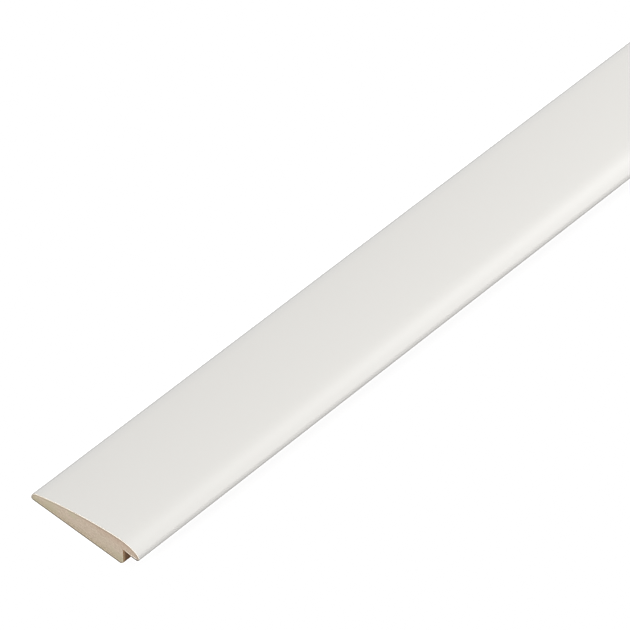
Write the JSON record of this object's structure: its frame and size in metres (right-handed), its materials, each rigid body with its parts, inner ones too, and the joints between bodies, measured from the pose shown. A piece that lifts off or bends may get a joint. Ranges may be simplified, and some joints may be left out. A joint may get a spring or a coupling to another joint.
{
  "type": "tile edge trim",
  "caption": "Straight ramp moulding with a gently crowned white face, a thin blunt edge and a rounded lip over a rebate that laps the edge of tiles.",
  "frame": {"origin": "on the flat back, in the middle of the width and of the length", "axes": "+X across the trim from the thin edge towards the nose of the lip, +Y along its length, +Z out of the back towards the face"},
  "size_m": [0.043, 0.27, 0.0104],
  "materials": {
    "white_coat": "satin white factory coat over fibreboard",
    "bare_board": "sawn fibreboard"
  },
  "bodies": {
    "root": {"tile_trim": "white_coat"}
  },
  "joints": []
}
